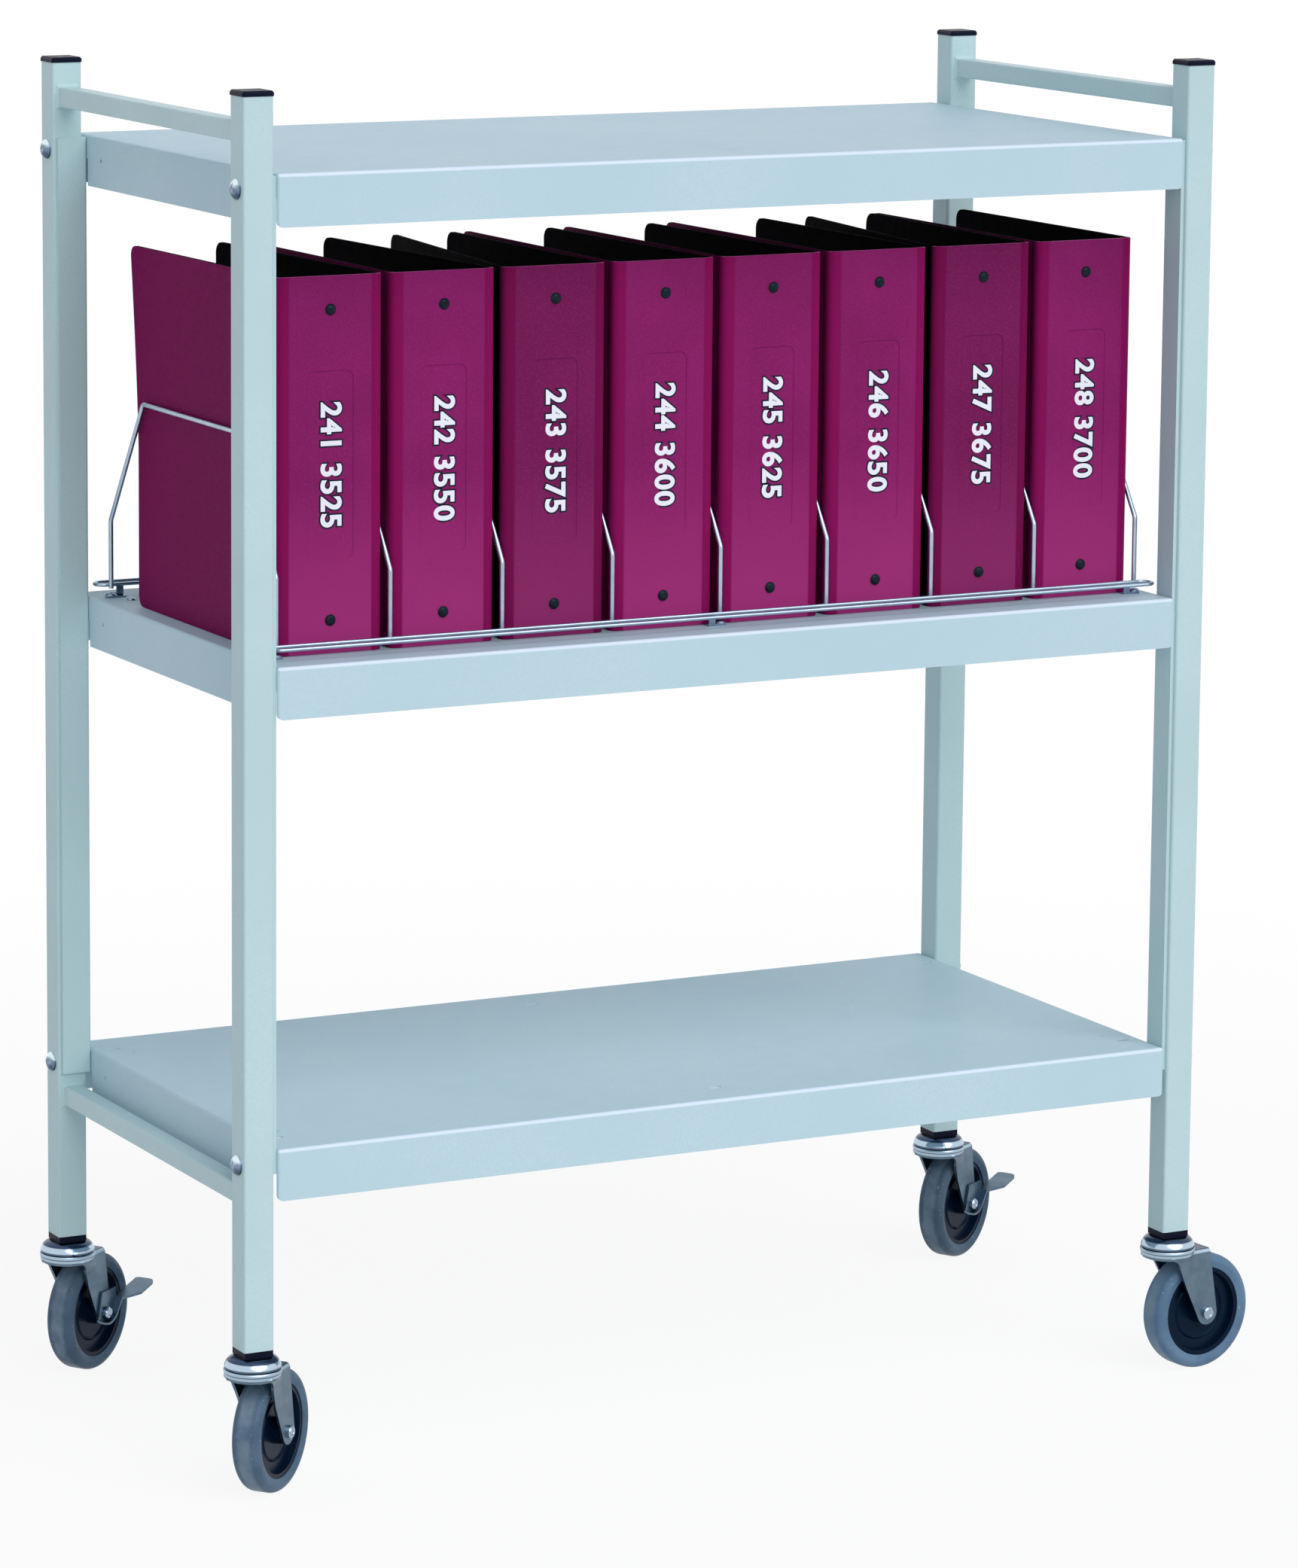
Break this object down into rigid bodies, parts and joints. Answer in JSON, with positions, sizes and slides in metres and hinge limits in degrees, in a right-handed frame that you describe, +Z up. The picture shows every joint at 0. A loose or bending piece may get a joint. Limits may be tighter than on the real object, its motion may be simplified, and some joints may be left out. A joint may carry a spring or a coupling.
{
  "type": "medical chart rack",
  "caption": "Square-tube cart on swivel casters with pressed steel shelves and a wire rack that holds ring binders upright on its middle shelf.",
  "frame": {"origin": "on the floor, under the middle of the four posts", "axes": "+X to the right seen from the front, +Y to the back, +Z up"},
  "size_m": [0.9562, 0.4589, 1.1096],
  "materials": {
    "frame_enamel": "pale blue-grey baked enamel, satin",
    "shelf_enamel": "pale blue-grey baked enamel, satin",
    "black_plastic": "moulded, fine texture",
    "zinc_fastener": "bright zinc plate",
    "zinc_caster": "bright zinc plate on pressed steel",
    "hub_plastic": "moulded nylon",
    "tyre_rubber": "grey non-marking rubber",
    "rack_wire": "plated drawn wire",
    "binder_poly": "burgundy polyethylene sheet, fine texture",
    "ring_steel": "nickel plate"
  },
  "bodies": {
    "frame": {"post_left_front": "frame_enamel", "angle_left_front": "frame_enamel", "post_right_front": "frame_enamel", "angle_right_front": "frame_enamel", "post_left_back": "frame_enamel", "angle_left_back": "frame_enamel", "post_right_back": "frame_enamel", "angle_right_back": "frame_enamel", "push_bar_left": "frame_enamel", "bottom_rail_left": "frame_enamel", "push_bar_right": "frame_enamel", "bottom_rail_right": "frame_enamel", "shelf_top": "shelf_enamel", "shelf_middle": "shelf_enamel", "shelf_bottom": "shelf_enamel", "post_caps": "black_plastic", "caster_inserts": "black_plastic", "shelf_fasteners": "zinc_fastener", "caster_raceways": "zinc_caster", "rack_rail_front": "rack_wire", "rack_rail_back": "rack_wire", "rack_dividers_left": "rack_wire", "rack_dividers_middle": "rack_wire", "rack_dividers_right": "rack_wire", "rack_feet": "zinc_fastener", "rack_screws": "zinc_fastener"},
    "fork_left_front": {"caster_fork_left_front": "zinc_caster", "caster_axle_left_front": "zinc_fastener"},
    "wheel_left_front": {"caster_hub_left_front": "hub_plastic", "caster_tyre_left_front": "tyre_rubber"},
    "fork_right_front": {"caster_fork_right_front": "zinc_caster", "caster_axle_right_front": "zinc_fastener"},
    "wheel_right_front": {"caster_hub_right_front": "hub_plastic", "caster_tyre_right_front": "tyre_rubber"},
    "fork_left_back": {"caster_fork_left_back": "zinc_caster", "caster_axle_left_back": "zinc_fastener"},
    "wheel_left_back": {"caster_hub_left_back": "hub_plastic", "caster_tyre_left_back": "tyre_rubber"},
    "brake_left_back": {"brake_pedal_left_back": "zinc_caster"},
    "fork_right_back": {"caster_fork_right_back": "zinc_caster", "caster_axle_right_back": "zinc_fastener"},
    "wheel_right_back": {"caster_hub_right_back": "hub_plastic", "caster_tyre_right_back": "tyre_rubber"},
    "brake_right_back": {"brake_pedal_right_back": "zinc_caster"},
    "binder_1": {"binder_cover_1": "binder_poly", "binder_rings_1": "ring_steel"},
    "binder_2": {"binder_cover_2": "binder_poly", "binder_rings_2": "ring_steel"},
    "binder_3": {"binder_cover_3": "binder_poly", "binder_rings_3": "ring_steel"},
    "binder_4": {"binder_cover_4": "binder_poly", "binder_rings_4": "ring_steel"},
    "binder_5": {"binder_cover_5": "binder_poly", "binder_rings_5": "ring_steel"},
    "binder_6": {"binder_cover_6": "binder_poly", "binder_rings_6": "ring_steel"},
    "binder_7": {"binder_cover_7": "binder_poly", "binder_rings_7": "ring_steel"},
    "binder_8": {"binder_cover_8": "binder_poly", "binder_rings_8": "ring_steel"}
  },
  "joints": [
    {"name": "swivel_left_front", "type": "hinge", "parent": "frame", "child": "fork_left_front", "pos_m": [-0.4223, -0.1905, 0.109], "axis": [0, 0, 1], "continuous": true},
    {"name": "roll_left_front", "type": "hinge", "parent": "fork_left_front", "child": "wheel_left_front", "pos_m": [-0.39817, -0.17025, 0.0495], "axis": [-0.6428, 0.766, 0], "continuous": true},
    {"name": "swivel_right_front", "type": "hinge", "parent": "frame", "child": "fork_right_front", "pos_m": [0.4223, -0.1905, 0.109], "axis": [0, 0, 1], "continuous": true},
    {"name": "roll_right_front", "type": "hinge", "parent": "fork_right_front", "child": "wheel_right_front", "pos_m": [0.45356, -0.18666, 0.0495], "axis": [-0.1219, 0.9925, 0], "continuous": true},
    {"name": "swivel_left_back", "type": "hinge", "parent": "frame", "child": "fork_left_back", "pos_m": [-0.4223, 0.1905, 0.109], "axis": [0, 0, 1], "continuous": true},
    {"name": "roll_left_back", "type": "hinge", "parent": "fork_left_back", "child": "wheel_left_back", "pos_m": [-0.39682, 0.20902, 0.0495], "axis": [-0.5878, 0.809, 0], "continuous": true},
    {"name": "brake_left_back", "type": "hinge", "parent": "fork_left_back", "child": "brake_left_back", "pos_m": [-0.39682, 0.20902, 0.0495], "axis": [-0.5878, 0.809, 0], "range_deg": [0, 25]},
    {"name": "swivel_right_back", "type": "hinge", "parent": "frame", "child": "fork_right_back", "pos_m": [0.4223, 0.1905, 0.109], "axis": [0, 0, 1], "continuous": true},
    {"name": "roll_right_back", "type": "hinge", "parent": "fork_right_back", "child": "wheel_right_back", "pos_m": [0.4493, 0.20672, 0.0495], "axis": [-0.515, 0.8572, 0], "continuous": true},
    {"name": "brake_right_back", "type": "hinge", "parent": "fork_right_back", "child": "brake_right_back", "pos_m": [0.4493, 0.20672, 0.0495], "axis": [-0.515, 0.8572, 0], "range_deg": [0, 25]},
    {"name": "lift_binder_1", "type": "slide", "parent": "frame", "child": "binder_1", "axis": [0, 0, 1], "range_m": [0, 0.04]},
    {"name": "lift_binder_2", "type": "slide", "parent": "frame", "child": "binder_2", "axis": [0, 0, 1], "range_m": [0, 0.04]},
    {"name": "lift_binder_3", "type": "slide", "parent": "frame", "child": "binder_3", "axis": [0, 0, 1], "range_m": [0, 0.04]},
    {"name": "lift_binder_4", "type": "slide", "parent": "frame", "child": "binder_4", "axis": [0, 0, 1], "range_m": [0, 0.04]},
    {"name": "lift_binder_5", "type": "slide", "parent": "frame", "child": "binder_5", "axis": [0, 0, 1], "range_m": [0, 0.04]},
    {"name": "lift_binder_6", "type": "slide", "parent": "frame", "child": "binder_6", "axis": [0, 0, 1], "range_m": [0, 0.04]},
    {"name": "lift_binder_7", "type": "slide", "parent": "frame", "child": "binder_7", "axis": [0, 0, 1], "range_m": [0, 0.04]},
    {"name": "lift_binder_8", "type": "slide", "parent": "frame", "child": "binder_8", "axis": [0, 0, 1], "range_m": [0, 0.04]}
  ]
}
